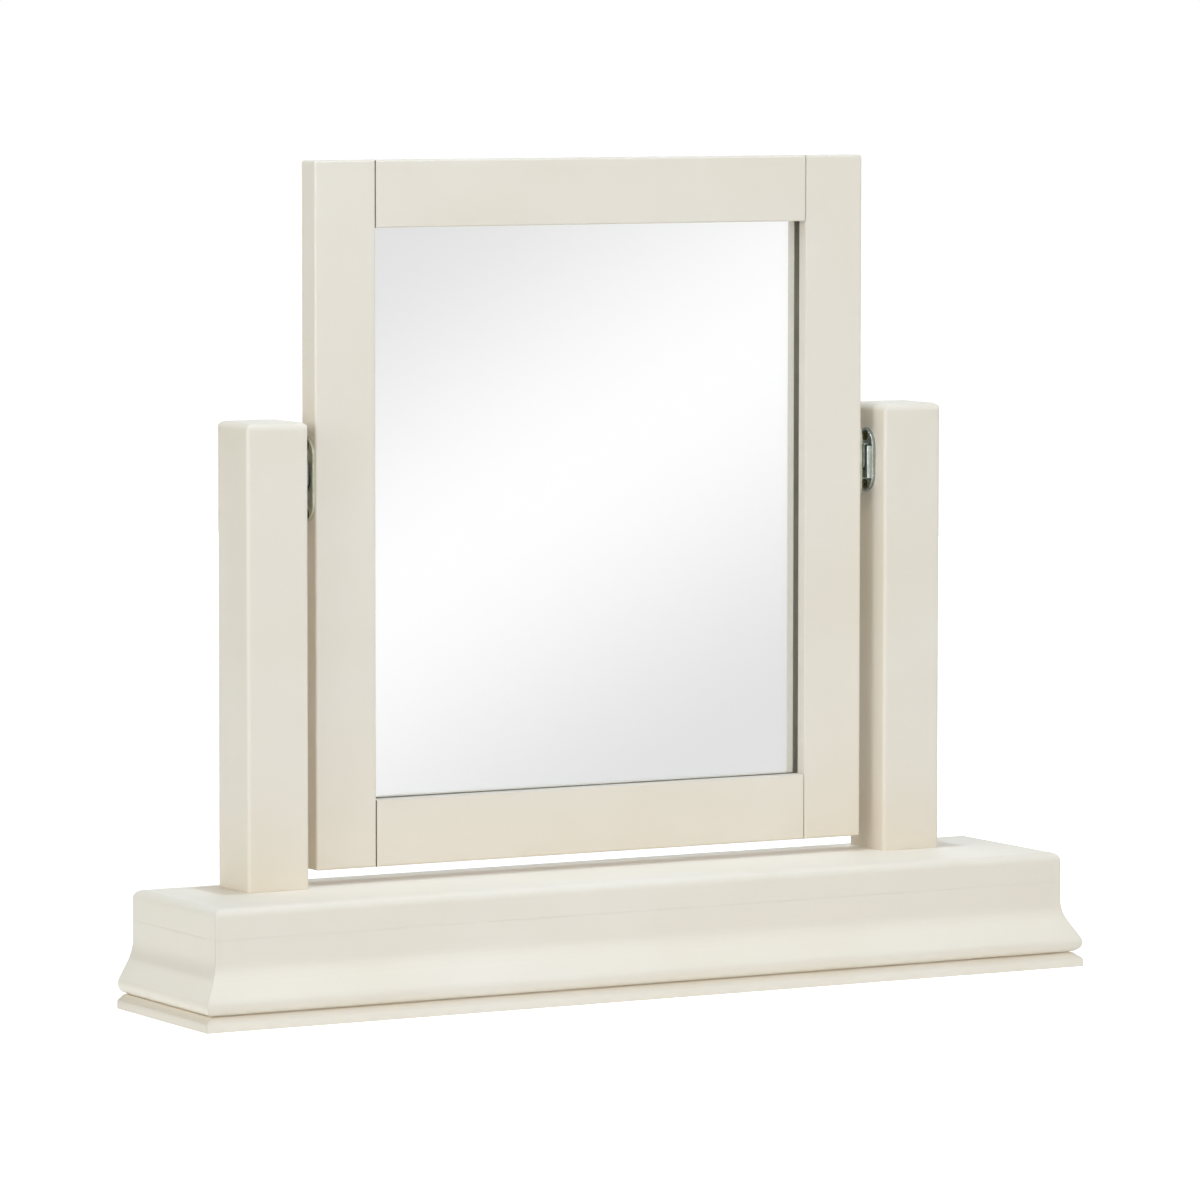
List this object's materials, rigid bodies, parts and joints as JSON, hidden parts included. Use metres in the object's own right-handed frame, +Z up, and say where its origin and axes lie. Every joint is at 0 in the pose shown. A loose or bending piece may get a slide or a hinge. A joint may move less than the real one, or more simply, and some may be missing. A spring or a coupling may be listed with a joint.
{
  "type": "tilting dressing-table mirror",
  "caption": "Square wooden-framed dressing-table mirror that tilts between two posts on a low moulded base and lifts out of its keepers.",
  "frame": {"origin": "on the surface that the base stands on, in the middle of the base", "axes": "+X across the mirror to the right as seen from the front, +Y to the back, +Z up"},
  "size_m": [0.6, 0.12, 0.498],
  "materials": {
    "painted_wood": "ivory satin paint over solid wood",
    "bare_wood": "bare sawn wood",
    "zinc_plate": "pressed sheet steel, bright zinc plated",
    "spring_steel": "hardened spring steel",
    "bronzed_screw": "dark bronzed steel",
    "plain_screw": "passivated steel",
    "mirror": "clear float glass, silvered behind",
    "hardboard": "smooth brown hardboard"
  },
  "bodies": {
    "stand": {"plinth_board": "painted_wood", "plinth_screws": "plain_screw", "front_moulding": "painted_wood", "right_moulding": "painted_wood", "left_moulding": "painted_wood", "back_board": "painted_wood", "glue_blocks": "bare_wood", "top_board": "painted_wood", "right_post": "painted_wood", "left_post": "painted_wood", "post_dowels": "bare_wood", "post_screws": "plain_screw", "right_keeper": "zinc_plate", "left_keeper": "zinc_plate", "right_keeper_screws": "bronzed_screw", "left_keeper_screws": "bronzed_screw"},
    "hangers": {"right_tongue": "zinc_plate", "left_tongue": "zinc_plate", "right_pivot_stud": "zinc_plate", "left_pivot_stud": "zinc_plate", "right_spring_washer": "spring_steel", "left_spring_washer": "spring_steel", "right_stud_washer": "zinc_plate", "left_stud_washer": "zinc_plate"},
    "mirror": {"right_swivel_plate": "zinc_plate", "left_swivel_plate": "zinc_plate", "right_swivel_screws": "bronzed_screw", "left_swivel_screws": "bronzed_screw", "right_stile": "painted_wood", "left_stile": "painted_wood", "top_rail": "painted_wood", "bottom_rail": "painted_wood", "frame_dowels": "bare_wood", "mirror_glass": "mirror", "backing_board": "hardboard", "backing_clips": "zinc_plate", "clip_screws": "plain_screw"}
  },
  "joints": [
    {"name": "mirror_lift", "type": "slide", "parent": "stand", "child": "hangers", "axis": [0, 0, 1], "range_m": [0, 0.018]},
    {"name": "mirror_tilt", "type": "hinge", "parent": "hangers", "child": "mirror", "pos_m": [0, 0.03, 0.3105], "axis": [-1, 0, 0], "continuous": true}
  ]
}
